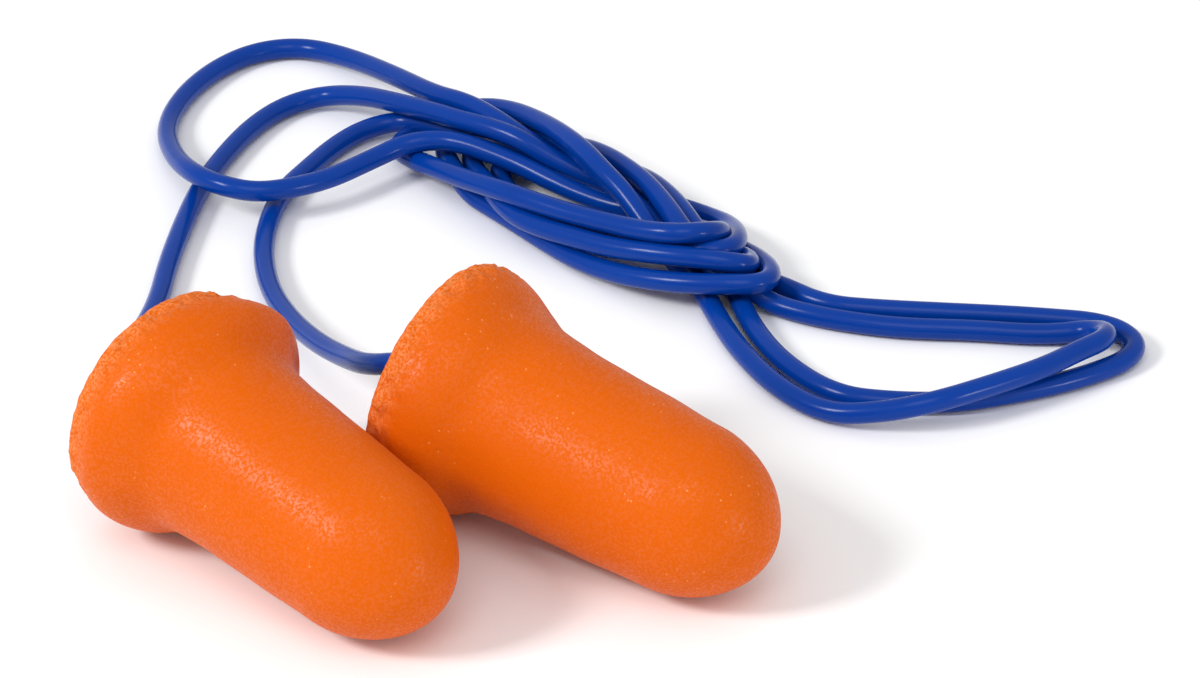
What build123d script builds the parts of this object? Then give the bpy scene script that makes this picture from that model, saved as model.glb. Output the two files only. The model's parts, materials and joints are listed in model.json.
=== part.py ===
"""A pair of soft foam earplugs joined by one vinyl cord, whose hank is tied in an overhand knot.

Millimetres, +Z up. The plugs lie on their rims and tips on the plane z = 0, and the origin is on
that plane, under the middle of the pair. The cord lies behind and to the right of them.
"""
import os
from math import atan2, cos, pi, radians, sin, sqrt, tan

from build123d import *

os.makedirs("parts", exist_ok=True)

# ---- foam plug: stations are distances from the cut base face along the plug's axis ----
PLUG_LENGTH = 26.2
RIM_RADIUS = 8.15          # widest ring of the flared base
RIM_STATION = 2.4
BASE_ROUNDING = 0.65       # how much narrower the cut base face is than the rim
RIM_BULGE = 0.03           # the tilted rim reaches this far below its widest ring
WAIST_RADIUS = 6.3
WAIST_STATION = 7.8
SHOULDER_RADIUS = 5.65     # where the tapered stem runs into the domed tip
SHOULDER_STATION = 19.5

# ---- where the two plugs lie: centre of the base face, and heading of the axis towards the tip ----
LEFT_BASE_XY = (-17.25, 5.93)
LEFT_HEADING = -45.4
RIGHT_BASE_XY = (0.45, 7.83)
RIGHT_HEADING = -34.9

# ---- cord and its glued end ----
CORD_DIAMETER = 1.45
GLUE_WALL = 0.35           # adhesive between the cord and the wall of its bore
BORE_DEPTH = 10.0
CORD_END_GAP = 0.6         # from the cord's cut end to the bottom of the bore
STRAIGHT_OUT = 2.4         # the cord leaves the base square to it for this far
BEND_SHARE = 0.45          # share of the shorter run that a bend takes up

# ---- knot: (distance along it, shift to its left, half width, half height) of each section ----
KNOT_START = (1.0, 51.0)
KNOT_HEADING = -40.3
KNOT_CLEARANCE = 0.1       # under the knot
KNOT_SECTIONS = [
    (-0.8, -0.3, 3.4, 2.1),
    (3.5, -0.7, 4.3, 2.7),
    (9.5, -1.8, 4.4, 2.9),
    (16.0, -2.8, 4.9, 2.9),
    (23.0, -2.6, 5.0, 2.8),
    (28.5, -1.9, 4.3, 2.4),
    (31.6, -1.5, 2.9, 1.8),
]

# ---- the cord's route, behind the plugs; each tail starts with its two points at the plug ----
LEFT_TAIL = [
    (-20.4, 11.0, 7.0), (-20.9, 14.9, 4.8), (-20.7, 19.4, 2.7), (-19.9, 24.4, 1.3),
    (-18.9, 29.6, 0.8), (-18.6, 35.0, 0.8), (-18.0, 40.8, 0.8), (-17.0, 45.6, 0.8),
    (-15.5, 50.3, 0.8), (-13.8, 54.7, 0.8), (-11.5, 57.8, 0.8), (-8.6, 58.6, 1.0),
    (-5.7, 56.4, 2.1), (-2.9, 53.1, 3.1), (-0.3, 50.7, 3.7), (1.2, 49.4, 3.9),
]
RIGHT_TAIL = [
    (-3.9, 11.7, 7.2), (-5.6, 15.7, 5.2), (-7.5, 20.2, 3.6), (-9.5, 25.5, 2.1),
    (-11.0, 31.0, 1.1), (-12.0, 36.1, 0.8), (-12.1, 40.7, 0.8), (-11.3, 45.0, 0.8),
    (-9.8, 48.4, 0.8), (-8.0, 51.7, 0.8), (-5.8, 53.7, 0.9), (-3.2, 54.1, 1.2),
    (-0.7, 52.4, 1.8), (1.2, 50.7, 2.1),
]
LEFT_LOOP = [
    (1.7, 51.5, 4.1), (-0.5, 54.3, 3.5), (-3.4, 58.6, 2.5), (-6.8, 63.4, 1.3),
    (-10.3, 65.9, 0.8), (-13.8, 65.3, 0.8), (-16.6, 62.5, 0.8), (-18.9, 58.1, 0.8),
    (-19.9, 53.4, 0.8), (-19.0, 47.9, 1.6), (-17.2, 43.2, 2.7), (-15.0, 41.7, 2.8),
    (-12.7, 41.4, 2.6), (-10.2, 42.3, 2.5), (-7.7, 44.5, 2.3), (-5.1, 46.8, 2.3),
    (-2.5, 48.2, 2.7), (-0.2, 48.2, 3.0), (1.7, 47.4, 3.1),
]
RIGHT_INNER_LOOP = [
    (17.9, 32.1, 0.8), (19.1, 27.6, 0.8), (20.5, 23.0, 0.8), (22.8, 18.7, 0.8),
    (26.0, 15.4, 0.8), (29.4, 14.3, 1.5), (33.0, 14.4, 2.4), (36.9, 16.4, 2.5),
    (40.5, 18.6, 2.5), (43.2, 20.9, 2.5), (45.3, 22.2, 2.5), (45.8, 24.0, 1.9),
    (44.7, 25.3, 1.1), (42.3, 25.6, 0.8), (39.6, 25.2, 0.8), (36.1, 25.8, 0.8),
    (31.7, 26.2, 0.8), (28.0, 27.0, 0.8), (25.0, 28.1, 0.8), (22.6, 29.7, 0.8),
]
RIGHT_OUTER_LOOP = [
    (20.2, 32.1, 0.8), (21.6, 27.4, 0.8), (23.7, 22.5, 0.8), (26.8, 18.4, 0.8),
    (30.7, 17.0, 0.8), (34.6, 16.7, 0.8), (38.3, 17.8, 0.8), (41.9, 19.2, 0.8),
    (44.8, 20.8, 0.8), (47.1, 22.6, 0.8), (47.4, 25.3, 0.8), (45.4, 27.4, 0.8),
    (42.4, 28.1, 0.8), (38.9, 28.4, 0.8), (34.5, 28.4, 0.8), (30.1, 28.9, 0.8),
    (26.4, 30.1, 0.8), (23.3, 32.1, 0.8),
]
FLEX_POINTS = 3            # the cord that bends as a plug swings ends halfway past this point

CORD_RADIUS = CORD_DIAMETER / 2
BORE_RADIUS = CORD_RADIUS + GLUE_WALL
DOME_LENGTH = PLUG_LENGTH - SHOULDER_STATION


def outline_radius(station):
    """Radius of the plug between its waist and its tip."""
    if station < SHOULDER_STATION:
        share = (station - WAIST_STATION) / (SHOULDER_STATION - WAIST_STATION)
        return WAIST_RADIUS + share * (SHOULDER_RADIUS - WAIST_RADIUS)
    share = (station - SHOULDER_STATION) / DOME_LENGTH
    return SHOULDER_RADIUS * sqrt(max(0.0, 1 - share ** 2))


def resting_tilt():
    """How far the tip dips, in radians, when the rim and the stem both touch a flat surface."""
    steps = 200
    stations = [WAIST_STATION + (PLUG_LENGTH - WAIST_STATION) * i / steps for i in range(steps + 1)]
    return min(atan2(RIM_RADIUS - outline_radius(s), s - RIM_STATION) for s in stations)


def plug_plane(base_xy, heading):
    """Plane on the base face: its normal points to the tip and its local Y points sideways."""
    tilt = resting_tilt()
    turn = radians(heading)
    height = RIM_RADIUS * cos(tilt) + RIM_STATION * sin(tilt) + RIM_BULGE
    normal = Vector(cos(turn) * cos(tilt), sin(turn) * cos(tilt), -sin(tilt))
    sideways = Vector(-sin(turn), cos(turn), 0)
    return Plane(origin=(*base_xy, height), x_dir=sideways.cross(normal), z_dir=normal)


def save(solid, name):
    solid.label = name
    export_step(solid, f"parts/{name}.step")


def make_plug(name, base):
    """Moulded foam plug: flared rim, waist, tapered stem, domed tip and a blind bore for the cord."""
    profile_plane = Plane(origin=base.origin, x_dir=base.x_dir, z_dir=-base.y_dir)
    stem_slope = Vector(SHOULDER_RADIUS - WAIST_RADIUS, SHOULDER_STATION - WAIST_STATION)
    with BuildPart() as plug:
        with BuildSketch(profile_plane):
            with BuildLine():
                base_face = Line((BORE_RADIUS, 0), (RIM_RADIUS - BASE_ROUNDING, 0))
                rim = Spline(base_face @ 1, (RIM_RADIUS, RIM_STATION), (WAIST_RADIUS, WAIST_STATION),
                             tangents=[(0.35, 1), stem_slope])
                Line(rim @ 1, (SHOULDER_RADIUS, SHOULDER_STATION))
                quarter_ellipse = [(SHOULDER_RADIUS, SHOULDER_STATION), (SHOULDER_RADIUS, PLUG_LENGTH),
                                   (0, PLUG_LENGTH)]
                Bezier(*quarter_ellipse, weights=[1, sqrt(0.5), 1])
                Polyline((0, PLUG_LENGTH), (0, BORE_DEPTH), (BORE_RADIUS, BORE_DEPTH), base_face @ 0)
            make_face()
        revolve(axis=Axis(base.origin, base.z_dir))
    save(plug.part, name)


def make_glue(name, base):
    """Sleeve of adhesive that fills the bore round and behind the cord's end."""
    with BuildPart() as glue:
        with BuildSketch(base):
            Circle(BORE_RADIUS)
        extrude(amount=BORE_DEPTH)
        with BuildSketch(base):
            Circle(CORD_RADIUS)
        extrude(amount=BORE_DEPTH - CORD_END_GAP, mode=Mode.SUBTRACT)
    save(glue.part, name)


def make_cord_end(name, base):
    """Stretch of cord that is glued inside the plug."""
    with BuildPart() as cord_end:
        with BuildSketch(base):
            Circle(CORD_RADIUS)
        extrude(amount=BORE_DEPTH - CORD_END_GAP)
    save(cord_end.part, name)


def bend_radii(points):
    """Radius of each bend: a set share of its shorter run, over the tangent of half its turn."""
    radii = []
    for before, corner, after in zip(points, points[1:], points[2:]):
        run_in, run_out = corner - before, after - corner
        half_turn = radians(run_in.get_angle(run_out)) / 2
        radii.append(BEND_SHARE * min(run_in.length, run_out.length) / tan(half_turn))
    return radii


def make_cord(name, points):
    """Free stretch of cord: straight runs joined by tangent bends."""
    points = [Vector(*point) for point in points]
    radii = bend_radii(points)
    with BuildPart() as cord:
        with BuildLine() as route:
            path = FilletPolyline(*points, radius=radii)
        with BuildSketch(Plane(origin=path @ 0, z_dir=path % 0)):
            Circle(CORD_RADIUS)
        sweep(path=path)
    save(cord.part, name)
    full = pi * CORD_RADIUS ** 2 * path.length
    print(f"{name}: length {path.length:.1f}, volume share {cord.part.volume / full:.4f},",
          "bend radii", " ".join(f"{radius:.1f}" for radius in radii))


def tail_route(base, points):
    """A tail's points from the base face on, with the straight way out of the plug first."""
    return [base.origin, base.origin - base.z_dir * STRAIGHT_OUT, *[Vector(*p) for p in points]]


def halves(points):
    """The route cut in two, halfway along the run that follows the bending stretch."""
    middle = (points[FLEX_POINTS - 1] + points[FLEX_POINTS]) / 2
    return points[:FLEX_POINTS] + [middle], [middle] + points[FLEX_POINTS:]


def make_knot(name):
    """Overhand knot in the cord's four strands, as one solid of its outer shape."""
    turn = radians(KNOT_HEADING)
    ahead = Vector(cos(turn), sin(turn), 0)
    left = Vector(-sin(turn), cos(turn), 0)
    with BuildPart() as knot:
        for along, shift, half_width, half_height in KNOT_SECTIONS:
            centre = Vector(*KNOT_START, half_height + KNOT_CLEARANCE) + ahead * along + left * shift
            with BuildSketch(Plane(origin=centre, x_dir=left, z_dir=ahead)):
                Ellipse(half_width, half_height)
        loft()
    save(knot.part, name)


for side, base_xy, heading, tail in (
    ("left", LEFT_BASE_XY, LEFT_HEADING, LEFT_TAIL),
    ("right", RIGHT_BASE_XY, RIGHT_HEADING, RIGHT_TAIL),
):
    base = plug_plane(base_xy, heading)
    print(side, "base centre", base.origin, "axis to the tip", base.z_dir)
    make_plug(f"{side}_plug", base)
    make_glue(f"{side}_glue", base)
    make_cord_end(f"{side}_cord_end", base)
    flex, free = halves(tail_route(base, tail))
    print(side, "swing pivot", flex[1], "end of the bending stretch", flex[-1])
    make_cord(f"{side}_cord_flex", flex)
    make_cord(f"{side}_cord_tail", free)

make_cord("left_loop", LEFT_LOOP)
make_cord("right_inner_loop", RIGHT_INNER_LOOP)
make_cord("right_outer_loop", RIGHT_OUTER_LOOP)
make_knot("cord_knot")
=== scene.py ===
# %% [markdown]
# Corded foam earplugs, finished in Blender.
#
# Two soft foam plugs hang on the two ends of one vinyl cord. The construction and the sizes come
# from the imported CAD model, which is loaded first and never moved. Everything here is looks: the
# foam bodies are modelled again with their cut rims and pores, and the cord is drawn as the one
# piece that it really is, through its three loops and the knot that ties them.

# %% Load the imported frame
import bpy
import json
import math
import numpy as np
from mathutils import Matrix, Vector, noise


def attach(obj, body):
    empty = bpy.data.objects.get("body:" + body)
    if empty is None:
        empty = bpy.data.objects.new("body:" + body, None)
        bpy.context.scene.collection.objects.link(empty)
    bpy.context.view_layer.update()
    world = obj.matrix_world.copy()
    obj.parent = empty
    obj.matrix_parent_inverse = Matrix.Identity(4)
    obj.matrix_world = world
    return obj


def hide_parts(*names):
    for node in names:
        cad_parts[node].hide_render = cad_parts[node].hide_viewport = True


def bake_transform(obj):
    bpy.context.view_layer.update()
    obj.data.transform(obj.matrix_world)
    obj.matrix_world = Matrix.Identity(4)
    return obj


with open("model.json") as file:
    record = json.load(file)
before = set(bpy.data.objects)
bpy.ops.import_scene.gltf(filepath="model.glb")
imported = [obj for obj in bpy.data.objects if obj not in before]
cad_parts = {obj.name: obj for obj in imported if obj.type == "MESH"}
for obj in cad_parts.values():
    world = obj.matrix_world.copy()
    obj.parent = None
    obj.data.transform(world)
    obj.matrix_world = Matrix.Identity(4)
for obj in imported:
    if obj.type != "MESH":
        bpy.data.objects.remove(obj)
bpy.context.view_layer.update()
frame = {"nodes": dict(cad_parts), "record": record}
MM = 0.001
CORD_RADIUS = 0.725 * MM

# %% [markdown]
# A camera, a floor and soft light.
#
# A small product is usually shot from a little distance with a long lens, which keeps both plugs
# nearly the same size. The camera looks down at about thirty degrees. A wide pale floor and a pale
# world stand for a light tent: they fill the shadows and put the soft bright edges on the foam. A
# small box on the left draws the long highlights along the stems and the cord, a low one on the
# right puts a spot near each tip, and a wide one in front keeps the floor bright.

# %% Camera
LOOK_AT = Vector((11.1, 26.33, 0.0)) * MM
CAMERA_HEIGHT_ANGLE = 0.55
CAMERA_DISTANCE = 435.6 * MM
SENSOR_WIDTH = 36.0
LENS = 193.7

camera_data = bpy.data.cameras.new("camera")
camera_data.sensor_width = SENSOR_WIDTH
camera_data.lens = LENS
camera = bpy.data.objects.new("camera", camera_data)
back_along_view = Vector((0, -math.cos(CAMERA_HEIGHT_ANGLE), math.sin(CAMERA_HEIGHT_ANGLE)))
camera.location = LOOK_AT + CAMERA_DISTANCE * back_along_view
camera.rotation_euler = (math.pi / 2 - CAMERA_HEIGHT_ANGLE, 0, 0)
bpy.context.scene.collection.objects.link(camera)
bpy.context.scene.camera = camera
bpy.context.scene.view_settings.view_transform = "Standard"
print("camera at", [round(c / MM) for c in camera.location], "mm")


# %% [markdown]
# Shader maths as plain Python.
#
# A material is a graph of nodes, and wiring it by hand hides the idea behind it. The small class
# below wraps one output of a node, so that `1 - mask` or `mask * 0.3` adds the Math nodes by
# itself. Every other kind of node comes from one method, which takes the node's type, then its
# settings, then the values or links of its sockets.

# %% Sockets that do arithmetic
class Socket:
    """One output of a node. Arithmetic on it adds Math nodes to the same material."""

    def __init__(self, finish, output):
        self.finish = finish
        self.output = output

    def math(self, operation, other, reflected=False):
        first, second = (other, self) if reflected else (self, other)
        return self.finish.node("ShaderNodeMath", {"operation": operation}, {0: first, 1: second})

    def __add__(self, other):
        return self.math("ADD", other)

    def __radd__(self, other):
        return self.math("ADD", other, reflected=True)

    def __sub__(self, other):
        return self.math("SUBTRACT", other)

    def __rsub__(self, other):
        return self.math("SUBTRACT", other, reflected=True)

    def __mul__(self, other):
        return self.math("MULTIPLY", other)

    def __rmul__(self, other):
        return self.math("MULTIPLY", other, reflected=True)

    def ramp(self, low, high):
        """0 below low and 1 above high, with a soft step between. low may be the larger one."""
        values = {"Value": self, "From Min": low, "From Max": high}
        return self.finish.node("ShaderNodeMapRange", {"interpolation_type": "SMOOTHSTEP"}, values)


class Finish:
    """A material with its Principled shader, whose fixed numbers are set straight on the shader."""

    def __init__(self, name, colour, **fixed):
        self.material = bpy.data.materials.new(name)
        self.material.use_nodes = True
        self.nodes = self.material.node_tree.nodes
        self.links = self.material.node_tree.links
        self.shader = self.nodes["Principled BSDF"]
        self.shader.inputs["Base Color"].default_value = (*colour, 1)
        self.material.diffuse_color = (*colour, 1)
        for socket, value in fixed.items():
            self.shader.inputs[socket.replace("_", " ")].default_value = value

    def node(self, kind, settings=None, values=None, out=0):
        """Any node: its type, its settings, then the values or links of its sockets."""
        made = self.nodes.new(kind)
        for name, value in (settings or {}).items():
            setattr(made, name, value)
        for name, value in (values or {}).items():
            if isinstance(value, Socket):
                self.links.new(value.output, made.inputs[name])
            else:
                made.inputs[name].default_value = value
        return Socket(self, made.outputs[out])

    def feed(self, name, source):
        self.links.new(source.output, self.shader.inputs[name])

    def place(self):
        """Where the surface point is, in metres, in the piece's own space."""
        return self.node("ShaderNodeTexCoord", out="Object")

    def grain(self, where, size, detail=2.0, roughness=0.5):
        """Noise from 0 to 1 with spots about as large as size, in metres."""
        values = {"Vector": where, "Scale": 1 / size, "Detail": detail, "Roughness": roughness}
        return self.node("ShaderNodeTexNoise", {"noise_dimensions": "3D"}, values)

    def cells(self, where, size):
        """Distance from the middle of small cells, for pores."""
        values = {"Vector": where, "Scale": 1 / size}
        return self.node("ShaderNodeTexVoronoi", {"feature": "F1"}, values, out="Distance")

    def mixed(self, factor, low, high):
        """One colour for factor 0 and another for factor 1."""
        made = self.nodes.new("ShaderNodeMix")
        made.data_type = "RGBA"
        self.links.new(factor.output, made.inputs["Factor"])
        for name, value in (("A", low), ("B", high)):
            socket = next(s for s in made.inputs if s.name == name and s.type == "RGBA")
            if isinstance(value, Socket):
                self.links.new(value.output, socket)
            else:
                socket.default_value = (*value, 1)
        return Socket(self, next(s for s in made.outputs if s.type == "RGBA"))

    def bump(self, height, distance, strength=1.0):
        values = {"Height": height, "Distance": distance, "Strength": strength}
        self.feed("Normal", self.node("ShaderNodeBump", {}, values, out="Normal"))


# %% [markdown]
# The floor and the lamps.
#
# The floor is a plain pale sheet, so it needs only the faintest tone in it. The world gives most
# of the light, the way a light tent does, and the soft boxes add the highlights.

# %% Floor and light
def stage_floor(side=6.0):
    sheet = Finish("floor_sheet", (0.95, 0.95, 0.95), Roughness=0.9, Specular_IOR_Level=0.1)
    tone = sheet.grain(sheet.place(), 0.4)
    sheet.feed("Base Color", sheet.mixed(tone, (0.94, 0.94, 0.95), (0.96, 0.96, 0.96)))
    mesh = bpy.data.meshes.new("floor")
    half = side / 2
    corners = [(-half, -half, 0), (half, -half, 0), (half, half, 0), (-half, half, 0)]
    mesh.from_pydata(corners, [], [(0, 1, 2, 3)])
    mesh.materials.append(sheet.material)
    floor = bpy.data.objects.new("floor", mesh)
    bpy.context.scene.collection.objects.link(floor)


def soft_box(name, place, aim, size, power):
    """A square area lamp at place, turned towards aim."""
    data = bpy.data.lights.new(name, "AREA")
    data.size = size
    data.energy = power
    lamp = bpy.data.objects.new(name, data)
    lamp.location = place
    lamp.rotation_euler = (Vector(aim) - Vector(place)).to_track_quat("-Z", "Y").to_euler()
    bpy.context.scene.collection.objects.link(lamp)


def light_tent(strength):
    world = bpy.data.worlds.new("light_tent")
    world.use_nodes = True
    world.node_tree.nodes["Background"].inputs["Color"].default_value = (1, 1, 1, 1)
    world.node_tree.nodes["Background"].inputs["Strength"].default_value = strength
    bpy.context.scene.world = world


stage_floor()
light_tent(0.68)
soft_box("left_box", (-0.43, -0.19, 0.40), LOOK_AT, 0.15, 2.2)
soft_box("front_box", (0.0, -0.36, 0.56), LOOK_AT, 0.36, 0.9)
soft_box("right_box", (0.44, -0.30, 0.10), LOOK_AT, 0.08, 0.45)

# %% [markdown]
# The cord's route.
#
# The cord is a limp vinyl string 1.45 mm thick. It leaves the base of one plug, makes one long loop
# beside the tails and two on the far side of a knot, and goes back into the base of the other plug.
# The route's points are in millimetres. Outside the knot they are the CAD model's, many of them
# moved a little, and the cord lies on the floor there, with low humps where it passes over itself.

# %% Route of the tails and the loops
LEFT_TAIL = [
    (-20.4, 11.0, 7.0), (-20.9, 14.9, 4.8), (-20.7, 19.4, 2.7), (-19.9, 24.4, 1.3), (-18.9, 29.6, 0.8),
    (-18.5, 34.9, 0.8), (-17.7, 40.6, 0.8), (-16.8, 45.4, 0.8), (-15.3, 50.0, 0.8), (-13.5, 54.1, 0.8),
    (-11.3, 57.0, 0.8), (-8.6, 58.1, 1.0), (-5.7, 56.1, 2.1), (-2.9, 53.1, 3.1), (-0.3, 50.7, 3.7),
    (1.2, 49.4, 3.9),
]
RIGHT_TAIL = [
    (-3.9, 11.3, 7.2), (-5.6, 15.5, 5.2), (-7.6, 19.9, 3.6), (-9.6, 25.2, 2.1), (-11.3, 30.7, 1.1),
    (-12.1, 36.1, 0.8), (-11.9, 40.6, 0.8), (-11.1, 44.6, 0.8), (-9.5, 47.7, 0.8), (-7.7, 51.0, 0.8),
    (-5.7, 53.3, 0.9), (-3.2, 54.1, 1.2), (-0.7, 52.4, 1.8), (1.2, 50.7, 2.1),
]
LEFT_LOOP = [
    (1.7, 51.5, 4.1), (-0.6, 53.7, 3.5), (-3.5, 58.2, 2.5), (-6.8, 63.0, 1.3), (-10.3, 65.6, 0.8),
    (-13.7, 65.0, 0.8), (-16.6, 62.4, 0.8), (-18.9, 58.1, 0.8), (-19.8, 53.4, 0.8), (-18.8, 48.1, 1.6),
    (-17.1, 43.8, 2.7), (-15.0, 42.0, 2.8), (-12.7, 41.5, 2.6), (-10.2, 42.3, 2.5), (-7.6, 44.0, 2.3),
    (-5.0, 46.5, 2.3), (-2.5, 48.2, 2.7), (-0.2, 48.2, 3.0), (1.7, 47.4, 3.1),
]
RIGHT_INNER_LOOP = [
    (17.9, 32.1, 0.8), (19.1, 27.6, 0.8), (20.6, 23.2, 0.8), (22.9, 18.8, 0.8), (26.0, 15.6, 0.8),
    (29.4, 14.6, 1.5), (33.0, 14.4, 2.4), (36.9, 16.4, 2.5), (40.5, 18.6, 2.5), (43.0, 20.8, 2.5),
    (44.7, 22.1, 2.5), (45.1, 24.0, 2.0), (44.0, 25.5, 1.2), (41.8, 25.7, 0.8), (39.6, 25.7, 0.8),
    (36.1, 26.2, 0.8), (31.7, 26.4, 0.8), (28.0, 27.2, 0.8), (25.0, 28.3, 0.8), (22.6, 29.7, 0.8),
]
RIGHT_OUTER_LOOP = [
    (20.2, 32.1, 0.8), (21.2, 26.9, 0.8), (23.3, 21.9, 0.8), (26.7, 17.8, 0.8), (30.7, 17.0, 0.8),
    (34.6, 17.0, 0.8), (38.3, 18.1, 0.8), (41.9, 19.5, 0.8), (44.4, 20.9, 0.8), (46.3, 22.3, 0.8),
    (47.2, 24.2, 0.8), (46.3, 26.1, 0.8), (44.4, 27.2, 0.8), (41.9, 27.6, 0.8), (38.9, 28.0, 0.8),
    (34.5, 28.4, 0.8), (30.1, 28.8, 0.8), (26.3, 29.4, 0.8), (23.3, 32.1, 0.8),
]
print("points outside the knot:", sum(map(len, (LEFT_TAIL, RIGHT_TAIL, LEFT_LOOP,
                                               RIGHT_INNER_LOOP, RIGHT_OUTER_LOOP))))

# %% [markdown]
# The knot.
#
# The cord was folded into four strands, and these were tied together in one loose overhand knot.
# Each strand comes in from the left, turns back at the right end, runs left along the front, goes
# round behind the bundle and leaves at the right. A bundle like that could be woven with a formula,
# but a real one is uneven, so each strand has its own points. They were drawn by hand, and a short
# settling script, which isn't part of this file, then pushed them apart. Crossing strands nearly
# clear each other now, but many still overlap a little and a few cut in deeper.

# %% The four strands of the knot
KNOT_LEFT_TAIL_OUT = [
    (3.4, 47.8, 4.2), (5.6, 46.3, 4.1), (7.8, 45.1, 3.2), (10.3, 44.1, 2.4), (12.9, 43.0, 1.9),
    (15.3, 41.6, 1.2), (17.7, 39.9, 0.8), (19.9, 37.6, 0.8), (21.8, 34.9, 1.3), (22.7, 32.0, 2.1),
    (22.6, 29.9, 2.5), (21.6, 29.0, 2.7), (19.8, 29.0, 2.7), (17.3, 29.6, 2.4), (14.8, 30.7, 2.0),
    (12.3, 32.4, 1.5), (9.9, 34.6, 1.1), (7.7, 37.3, 0.9), (5.7, 40.0, 0.8), (3.8, 42.3, 0.8),
    (2.1, 44.1, 0.9), (1.0, 46.2, 1.4), (0.3, 48.9, 1.1), (0.1, 51.2, 0.8), (0.8, 52.4, 0.8),
    (2.0, 53.3, 0.8), (3.7, 53.4, 1.0), (5.5, 52.0, 1.7), (7.5, 49.2, 2.8), (9.3, 45.7, 3.8),
    (10.6, 42.7, 4.0), (12.0, 40.7, 3.6), (13.5, 39.2, 3.0), (14.8, 38.0, 2.4), (15.9, 36.7, 1.9),
    (17.3, 35.3, 1.2), (18.5, 34.1, 0.8),
]
KNOT_LEFT_LOOP_OUT = [
    (3.6, 46.4, 2.9), (5.7, 45.2, 2.6), (7.8, 43.7, 2.2), (10.0, 42.1, 2.0), (12.3, 40.6, 2.0),
    (14.4, 39.8, 2.1), (16.3, 39.4, 1.7), (17.7, 38.6, 1.4), (18.8, 37.2, 1.9), (19.4, 35.6, 2.9),
    (19.3, 33.7, 4.1), (18.2, 32.2, 4.9), (16.2, 31.8, 5.0), (13.8, 33.1, 4.5), (11.4, 34.9, 4.1),
    (9.0, 36.6, 3.8), (6.6, 38.3, 3.7), (4.2, 40.3, 3.5), (1.9, 42.9, 2.8), (-0.2, 45.8, 2.0),
    (-2.1, 48.4, 1.3), (-3.2, 50.4, 1.0), (-2.8, 52.0, 0.8), (-1.5, 53.6, 0.8), (-0.1, 54.9, 0.9),
    (1.5, 55.1, 1.5), (3.3, 54.2, 2.2), (5.1, 52.2, 3.0), (6.9, 49.2, 3.9), (8.5, 45.8, 4.8),
    (10.0, 42.8, 5.2), (11.3, 40.5, 4.9), (12.6, 38.9, 4.3), (13.6, 37.6, 3.5), (14.5, 36.4, 2.7),
    (15.6, 35.1, 1.8), (16.8, 33.8, 0.8),
]
KNOT_RIGHT_TAIL_OUT = [
    (3.2, 49.3, 2.4), (5.5, 48.2, 2.1), (7.7, 47.3, 1.4), (10.0, 45.7, 0.8), (12.4, 42.9, 0.8),
    (15.0, 39.6, 0.8), (17.6, 36.9, 1.0), (19.9, 35.1, 1.6), (21.2, 33.1, 2.3), (21.3, 31.2, 2.9),
    (20.4, 30.4, 3.5), (17.9, 30.6, 3.8), (14.5, 31.8, 3.5), (11.8, 33.4, 3.0), (9.4, 35.2, 2.7),
    (7.3, 36.9, 2.4), (5.4, 38.8, 2.2), (4.0, 41.4, 2.1), (3.1, 44.6, 1.7), (2.3, 47.5, 0.9),
    (2.0, 49.3, 0.8), (2.3, 50.3, 0.9), (3.2, 50.8, 1.0), (4.6, 51.1, 0.8), (6.3, 51.2, 0.8),
    (8.1, 50.6, 1.2), (9.9, 48.7, 2.1), (11.6, 45.9, 3.0), (13.1, 43.1, 3.5), (14.4, 40.7, 3.7),
    (15.5, 38.3, 3.6), (16.4, 36.2, 3.4), (17.3, 34.2, 3.0), (18.4, 32.3, 2.5), (19.9, 30.9, 2.3),
    (21.4, 30.2, 1.7),
]
KNOT_LEFT_LOOP_IN = [
    (3.9, 49.2, 4.0), (5.9, 47.5, 3.4), (8.0, 46.4, 2.5), (10.5, 45.8, 1.9), (12.8, 44.7, 1.1),
    (14.9, 43.5, 0.8), (16.9, 42.4, 0.8), (18.7, 41.0, 0.9), (20.1, 38.5, 1.7), (20.6, 35.0, 2.9),
    (20.1, 32.3, 3.6), (18.6, 31.7, 3.7), (16.6, 32.8, 3.4), (14.2, 34.8, 2.8), (11.8, 36.8, 2.1),
    (9.4, 38.8, 1.6), (7.3, 40.8, 1.2), (5.7, 42.7, 1.0), (4.7, 44.6, 0.8), (4.2, 46.4, 0.8),
    (4.1, 47.9, 0.8), (4.5, 48.9, 0.8), (5.4, 49.2, 1.0), (6.6, 49.2, 1.1), (8.2, 49.0, 0.8),
    (9.9, 48.9, 0.8), (11.6, 48.2, 0.9), (13.3, 46.3, 1.4), (14.8, 43.4, 2.3), (16.1, 40.3, 2.8),
    (17.0, 37.9, 2.9), (17.8, 36.0, 2.6), (18.6, 34.4, 2.3), (19.7, 33.6, 1.5), (21.3, 33.1, 0.8),
]
print("points in the knot:", sum(map(len, (KNOT_LEFT_TAIL_OUT, KNOT_LEFT_LOOP_OUT,
                                          KNOT_RIGHT_TAIL_OUT, KNOT_LEFT_LOOP_IN))))


# %% [markdown]
# One line from plug to plug.
#
# The plugs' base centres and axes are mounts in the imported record. The cord leaves each base
# straight, in line with the plug, before it bends.

# %% Join the stretches
STRAIGHT_OUT = 2.4  # mm
MOUNTS = {mount["name"]: mount for mount in frame["record"]["mounts"]}


def plug_seat(side):
    """Centre of the plug's base and the direction to its tip, as vectors in metres."""
    mount = MOUNTS[side + "_ear_insert"]
    return Vector(mount["pos_m"]), Vector(mount["axis"]).normalized()


def way_out(side):
    """The cord's first two points: at the plug's base and a little behind it, in mm."""
    base, axis = plug_seat(side)
    return [tuple(base / MM), tuple(base / MM - STRAIGHT_OUT * axis)]


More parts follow.
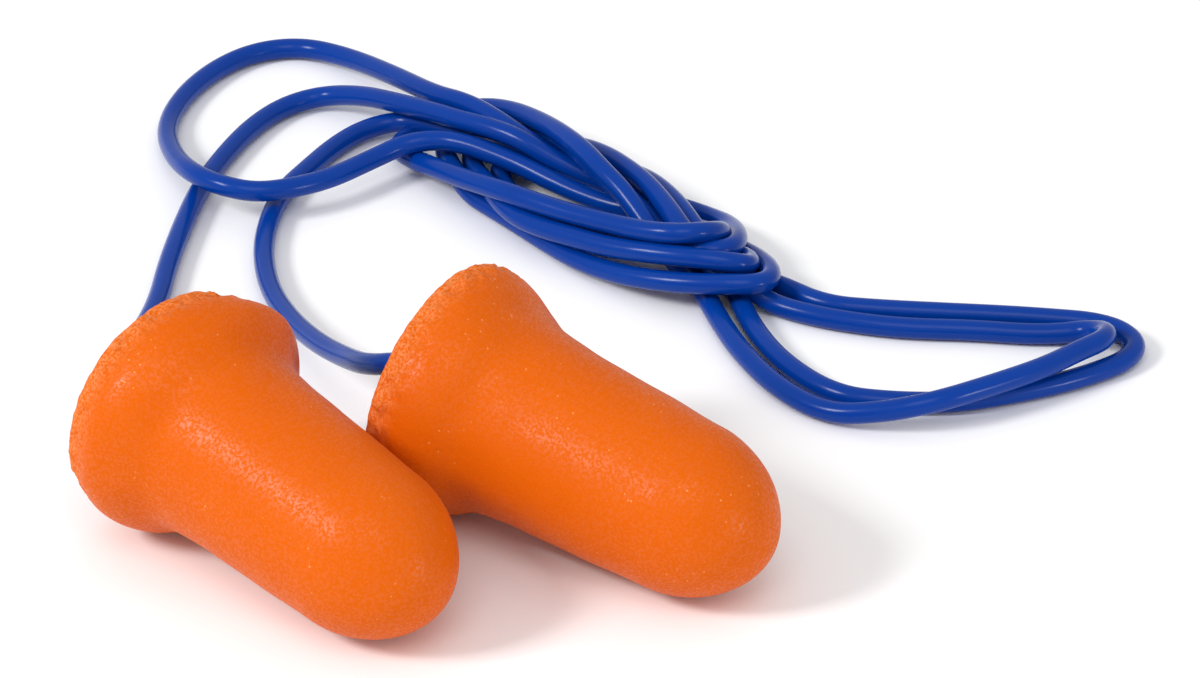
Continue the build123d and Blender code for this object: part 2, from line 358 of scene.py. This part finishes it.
STRETCHES = [
    way_out("left") + LEFT_TAIL,
    KNOT_LEFT_TAIL_OUT,
    RIGHT_OUTER_LOOP,
    KNOT_LEFT_LOOP_IN[::-1],
    LEFT_LOOP,
    KNOT_LEFT_LOOP_OUT,
    RIGHT_INNER_LOOP,
    KNOT_RIGHT_TAIL_OUT[::-1],
    RIGHT_TAIL[::-1] + way_out("right")[::-1],
]
route = np.array([point for stretch in STRETCHES for point in stretch], float)
print(len(route), "points from plug to plug, heights", route[:, 2].min(), "to", route[:, 2].max(), "mm")

# %% [markdown]
# Reading the smooth line.
#
# The points shape a NURBS spline of order 3, which passes near them in one fair curve. Blender
# works it out: a curve with no bevel, turned into a mesh, is just the line's own points.

# %% The cord's line
def spline_line(name, control, steps):
    """The points of a smooth spline, in metres, from its control points in millimetres."""
    curve = bpy.data.curves.new(name, "CURVE")
    curve.dimensions = "3D"
    curve.resolution_u = steps
    spline = curve.splines.new("NURBS")
    spline.points.add(len(control) - 1)
    for point, place in zip(spline.points, control):
        point.co = (*(place * MM), 1)
    spline.order_u = 3
    spline.use_endpoint_u = True
    holder = bpy.data.objects.new(name, curve)
    bpy.context.scene.collection.objects.link(holder)
    bpy.context.view_layer.update()
    mesh = bpy.data.meshes.new_from_object(holder.evaluated_get(bpy.context.evaluated_depsgraph_get()))
    line = np.array([v.co for v in mesh.vertices], float)
    bpy.data.objects.remove(holder)
    bpy.data.meshes.remove(mesh)
    keep = np.concatenate([[True], np.linalg.norm(np.diff(line, axis=0), axis=1) > 1e-6])
    return line[keep]


def distances_along(line):
    return np.concatenate([[0], np.cumsum(np.linalg.norm(np.diff(line, axis=0), axis=1))])


cord_line = spline_line("cord_route", route, 8)
cord_length = distances_along(cord_line)[-1]
print(f"cord: {len(cord_line)} points, {cord_length / MM:.0f} mm from plug to plug")


# %% [markdown]
# The cord's body.
#
# Extruded vinyl is a plain round tube, so a ring of points is carried along the line. Turning each
# ring only as much as the line turns keeps the rings from twisting. The first and last few
# millimetres are pieces of their own, because they bend when a plug is swung about on its cord.

# %% Tubes along the line
SIDES = 20


def frames_along(line):
    """Two directions square to the line at each of its points, carried along without a twist."""
    tangents = np.gradient(line, axis=0)
    tangents /= np.linalg.norm(tangents, axis=1)[:, None]
    across = np.cross(tangents[0], (0, 0, 1))
    made = []
    for tangent in tangents:
        across = across - tangent * np.dot(across, tangent)
        across /= np.linalg.norm(across)
        made.append((across, np.cross(tangent, across)))
    return np.array(made)


def tube(name, line, axes, radius, material):
    """A closed round tube whose rings follow the line. Its normals point straight out from the
    line, so two tubes that share a ring show no seam."""
    turn = np.linspace(0, 2 * math.pi, SIDES, endpoint=False)
    round_trip = np.stack([np.cos(turn), np.sin(turn)], axis=1)
    rings = line[:, None] + radius * np.einsum("sk,nkx->nsx", round_trip, axes)
    verts = np.concatenate([rings.reshape(-1, 3), line[:1], line[-1:]])
    count = len(line)
    faces = []
    for i in range(count - 1):
        for j in range(SIDES):
            k = (j + 1) % SIDES
            faces.append((i * SIDES + j, i * SIDES + k, (i + 1) * SIDES + k, (i + 1) * SIDES + j))
    for j in range(SIDES):
        k = (j + 1) % SIDES
        faces.append((count * SIDES, k, j))
        faces.append((count * SIDES + 1, (count - 1) * SIDES + j, (count - 1) * SIDES + k))
    mesh = bpy.data.meshes.new(name)
    mesh.from_pydata(verts.tolist(), [], faces)
    outward = (verts[:-2] - np.repeat(line, SIDES, axis=0)) / radius
    mesh.normals_split_custom_set_from_vertices([*outward.tolist(), (0, 0, 0), (0, 0, 0)])
    mesh.materials.append(material)
    piece = bpy.data.objects.new(name, mesh)
    bpy.context.scene.collection.objects.link(piece)
    return piece


def vinyl():
    """Deep blue glossy vinyl with the faint waviness of an extruded skin."""
    finish = Finish("blue_vinyl", (0.0005, 0.038, 0.275), Roughness=0.2, Specular_IOR_Level=0.16)
    where = finish.place()
    cloud = finish.grain(where, 6 * MM)
    finish.feed("Base Color", finish.mixed(cloud, (0.0002, 0.033, 0.255), (0.0008, 0.044, 0.305)))
    fine = finish.grain(where, 0.5 * MM, detail=3)
    finish.feed("Roughness", 0.16 + 0.10 * fine)
    finish.bump(finish.grain(where, 1.2 * MM, detail=0), 0.02 * MM, 0.25)
    return finish.material


# %% Cut the line into the cord and its two bending ends
FLEX_LENGTH = 8.6 * MM  # how far a bending end reaches from its plug's base

blue = vinyl()
axes = frames_along(cord_line)
along = distances_along(cord_line)
first = int(np.searchsorted(along, FLEX_LENGTH))
last = int(np.searchsorted(along, cord_length - FLEX_LENGTH))
cord = tube("cord", cord_line[first:last + 1], axes[first:last + 1], CORD_RADIUS, blue)
left_flex = tube("left_cord_bend", cord_line[:first + 1], axes[:first + 1], CORD_RADIUS, blue)
right_flex = tube("right_cord_bend", cord_line[last:], axes[last:], CORD_RADIUS, blue)
print("rings:", len(left_flex.data.vertices) // SIDES, len(cord.data.vertices) // SIDES,
      len(right_flex.data.vertices) // SIDES)

# %% [markdown]
# Foam plugs.
#
# A plug is slow-recovery foam, moulded in a bell: a wide rim for the fingers, a waist, and a stem
# with a round tip that goes into the ear. The moulded skin is smooth with fine open pores. The
# base is cut off flat, so its rim is crumbly. Half an outline turned about the axis gives the
# bell, and noise in the mesh itself gives the crumbly rim. No two plugs come out of a mould quite
# alike, so each rim also gets its own soft lumps. Where a plug lies on the floor, it lies flat.

# %% The plug's outline
PLUG_LENGTH = 26.2
BORE = 1.08
BORE_DEPTH = 10.0
SKIN = [(1.0, 7.85), (2.4, 8.15), (4.4, 7.72), (6.4, 6.6), (8.6, 6.22), (12.0, 6.0),
        (16.0, 5.84), (19.5, 5.65)]
SHOULDER = 19.5
DOME_POWER = 1.86


def skin_radius(station):
    """The plug's radius at a distance from its base, in mm."""
    if station >= SHOULDER:
        share = (station - SHOULDER) / (PLUG_LENGTH - SHOULDER)
        return SKIN[-1][1] * max(1 - share**DOME_POWER, 0) ** (1 / DOME_POWER)
    stations = [s for s, _ in SKIN]
    radii = [r for _, r in SKIN]
    slopes = np.gradient(radii, stations)
    slopes[-1] = 0
    i = min(max(int(np.searchsorted(stations, station)) - 1, 0), len(SKIN) - 2)
    width = stations[i + 1] - stations[i]
    t = (station - stations[i]) / width
    return ((2 * t**3 - 3 * t**2 + 1) * radii[i] + (t**3 - 2 * t**2 + t) * width * slopes[i]
            + (3 * t**2 - 2 * t**3) * radii[i + 1] + (t**3 - t**2) * width * slopes[i + 1])


def outline():
    """Radius and station of each ring, from the bore's floor round the rim to the tip."""
    bore = [(0.0, BORE_DEPTH), (BORE * 0.6, BORE_DEPTH), (BORE, BORE_DEPTH - 0.3)]
    bore += [(BORE, s) for s in np.linspace(BORE_DEPTH - 1, 0.25, 12)]
    face = [(r, 0.0) for r in np.linspace(BORE + 0.12, 7.25, 36)]
    edge = [(7.45, 0.06), (7.6, 0.2), (7.7, 0.38), (7.77, 0.6), (7.81, 0.8)]
    skin = [(skin_radius(s), s) for s in np.arange(1.0, SHOULDER, 0.16)]
    turn = np.linspace(0, 1, 60)[:-1]
    dome_stations = SHOULDER + (PLUG_LENGTH - SHOULDER) * np.sin(turn * math.pi / 2)
    dome = [(skin_radius(s), s) for s in dome_stations] + [(0.0, PLUG_LENGTH)]
    return bore + face + edge + skin + dome


rings = outline()
print(len(rings), "rings, widest radius", round(max(r for r, _ in rings), 2), "mm")

# %% Turn the outline into a plug and roughen it
AROUND = 256
# Each lump: the way it faces, its distance from the base in mm, and its height in mm.
RIM_LUMPS = {"left": [((1.0, 0.2, 0.3), 3.6, 0.85), ((-1.0, -0.5, 0.1), 3.0, 0.25)],
             "right": [((-0.3, 0.5, 1.0), 0.8, 0.55), ((0.4, 0.3, 1.0), 4.5, -0.7)]}


def fractal(place, size, seed):
    """Smooth noise from about -1 to 1, with spots about as large as size, in mm."""
    return noise.noise(Vector(place) / size + Vector((seed, 2.7 * seed, -seed)))


def roughness_at(place, seed):
    """How far the skin stands out at a point, in mm: soft swells, and crumbs along the cut rim."""
    swell = 0.07 * fractal(place, 7.0, seed) + 0.03 * fractal(place, 2.5, seed + 5)
    rim = max(0.0, 1 - abs(place.z - 1.0) / 1.7)
    crumbs = 0.30 * fractal(place, 0.9, seed + 9) + 0.20 * fractal(place, 0.4, seed + 12)
    return swell + rim * crumbs


def lump_at(place, lumps):
    """How far the rim bulges at a point, in mm. A lump has a direction, a station and a height."""
    out = 0.0
    for direction, station, height in lumps:
        facing = max(0.0, place.xy.normalized().dot(direction.xy.normalized()))
        out += height * facing**4 * math.exp(-((place.z - station) / 1.5) ** 2)
    return out


def skin_point(radius, station, turn, lumps, seed):
    """A point of the roughened plug, in mm. The base face is only dented, never raised."""
    place = Vector((radius * math.cos(turn), radius * math.sin(turn), station))
    if radius < BORE + 0.1:
        return place
    if station == 0:
        place.z = 0.16 * max(0.0, fractal(place, 0.55, seed + 3))
        return place
    out = roughness_at(place, seed) + lump_at(place, lumps)
    on_dome = max(0.0, (station - SHOULDER) / (PLUG_LENGTH - SHOULDER))
    sideways = 1 + out * (1 - on_dome) / radius
    return Vector((place.x * sideways, place.y * sideways, station + out * on_dome))


def plug(side, seed, material):
    """One foam plug, turned about z from its base at the origin, then laid where its mount says."""
    base, axis = plug_seat(side)
    turned = axis.to_track_quat("Z", "Y").to_matrix()
    lumps = [(turned.inverted() @ Vector(way), at, height) for way, at, height in RIM_LUMPS[side]]
    verts = []
    index = []
    for radius, station in rings:
        if radius == 0:
            index.append([len(verts)] * AROUND)
            verts.append(Vector((0, 0, station)) * MM)
            continue
        index.append(list(range(len(verts), len(verts) + AROUND)))
        verts += [skin_point(radius, station, 2 * math.pi * j / AROUND, lumps, seed) * MM
                  for j in range(AROUND)]
    faces = []
    for below, above in zip(index, index[1:]):
        for j in range(AROUND):
            k = (j + 1) % AROUND
            corners = [below[j], below[k], above[k], above[j]]
            faces.append(list(dict.fromkeys(corners)))
    mesh = bpy.data.meshes.new(side + "_foam_plug")
    mesh.from_pydata(verts, [], faces)
    mesh.polygons.foreach_set("use_smooth", [True] * len(faces))
    mesh.materials.append(material)
    on_plug = mesh.attributes.new("on_plug", "FLOAT_VECTOR", "POINT")
    on_plug.data.foreach_set("vector", np.array(verts).ravel())
    mesh.transform(Matrix.Translation(base) @ turned.to_4x4())
    for vertex in mesh.vertices:
        vertex.co.z = max(vertex.co.z, 0.0)
    piece = bpy.data.objects.new(side + "_foam_plug", mesh)
    bpy.context.scene.collection.objects.link(piece)
    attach(piece, side + "_plug")
    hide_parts(side + "_plug")
    return piece


# %% [markdown]
# Foam finish.
#
# The skin is a strong orange with almost no gloss of its own. Flecks of smoother moulded skin lie
# between the open pores and catch the light, so a highlight comes apart into fine specks. Pale
# specks in random patches are also painted into the colour, as a painted highlight. Where the foam
# was cut, at the base and its rim, the cells lie open and look paler and powdery. The mask for that
# comes from how far a point is from the base.

# %% Foam
def foam(name, seed):
    finish = Finish(name, (0.69, 0.108, 0.0025), Roughness=0.6, Specular_IOR_Level=0.05,
                    Coat_Roughness=0.34, Sheen_Weight=0.05, Sheen_Roughness=0.35,
                    Sheen_Tint=(1.0, 0.6, 0.4, 1))
    where = finish.node("ShaderNodeAttribute", {"attribute_name": "on_plug"}, out="Vector")
    shifted = finish.node("ShaderNodeVectorMath", {"operation": "ADD"},
                          {0: where, 1: (seed * MM, 3 * seed * MM, -seed * MM)})
    from_base = finish.node("ShaderNodeSeparateXYZ", {}, {"Vector": where}, out="Z")
    cut = from_base.ramp(2.6 * MM, 0.2 * MM)
    fine = finish.grain(shifted, 0.20 * MM, detail=3, roughness=0.6)
    patch = finish.grain(shifted, 3.5 * MM, detail=3)
    pores = finish.cells(shifted, 0.55 * MM)
    flecks = fine.ramp(0.44, 0.60)
    pale = cut * fine.ramp(0.38, 0.62) * 0.9
    # Pale specks in random patches: a painted highlight, painted into the colour to stand in for the
    # speckled highlight.
    specks = pores.ramp(0.15, 0.09) * patch.ramp(0.5, 0.62)
    body = finish.mixed(patch, (0.62, 0.098, 0.0010), (0.67, 0.114, 0.0018))
    # Painted highlight: the pale speck colour is mixed into the body colour.
    painted_highlight_specks = finish.mixed(specks * 0.6, body, (0.80, 0.34, 0.12))
    finish.feed("Base Color", finish.mixed(pale, painted_highlight_specks, (0.74, 0.24, 0.08)))
    finish.feed("Roughness", 0.5 + 0.3 * cut)
    finish.feed("Coat Weight", flecks * (1 - cut) * 0.42)
    finish.bump(fine * 0.6 + pores * 0.4, 0.09 * MM, 0.45)
    return finish.material


for side, seed in (("left", 1), ("right", 8)):
    piece = plug(side, seed, foam(side + "_foam", seed))
    print(side, "plug:", len(piece.data.polygons), "faces")

# %% [markdown]
# Glue.
#
# The cord's end is glued into a bore in the plug's base. Only the mouth of that joint shows, as a
# ring of clear glue round the cord. The CAD nodes have the right shape, so they stay and only take
# a finish: clear, slightly yellow glue, and the cord's own vinyl for the ends inside the foam.

# %% Glue and cord ends
def glue():
    finish = Finish("clear_glue", (0.80, 0.52, 0.25), Roughness=0.2, IOR=1.48)
    where = finish.place()
    haze = finish.grain(where, 0.7 * MM)
    finish.feed("Base Color", finish.mixed(haze, (0.72, 0.44, 0.20), (0.86, 0.60, 0.32)))
    finish.feed("Roughness", 0.15 + 0.2 * haze)
    finish.bump(haze, 0.05 * MM, 0.4)
    return finish.material


def refinish(node, material):
    """Gives a CAD node that stays in view a better material."""
    data = frame["nodes"][node].data
    data.materials.clear()
    data.materials.append(material)


sealed = glue()
for side in ("left", "right"):
    refinish(side + "_glue", sealed)
    refinish(side + "_cord_end", blue)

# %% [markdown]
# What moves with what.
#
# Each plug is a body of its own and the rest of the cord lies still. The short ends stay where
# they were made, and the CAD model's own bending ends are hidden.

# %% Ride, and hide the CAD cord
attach(cord, "cord")
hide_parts("left_cord_tail", "right_cord_tail", "left_loop", "right_inner_loop",
            "right_outer_loop", "cord_knot")
for side, piece, near, far in (("left", left_flex, 0, first), ("right", right_flex, -1, last)):
    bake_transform(piece)
    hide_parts(side + "_cord_flex")
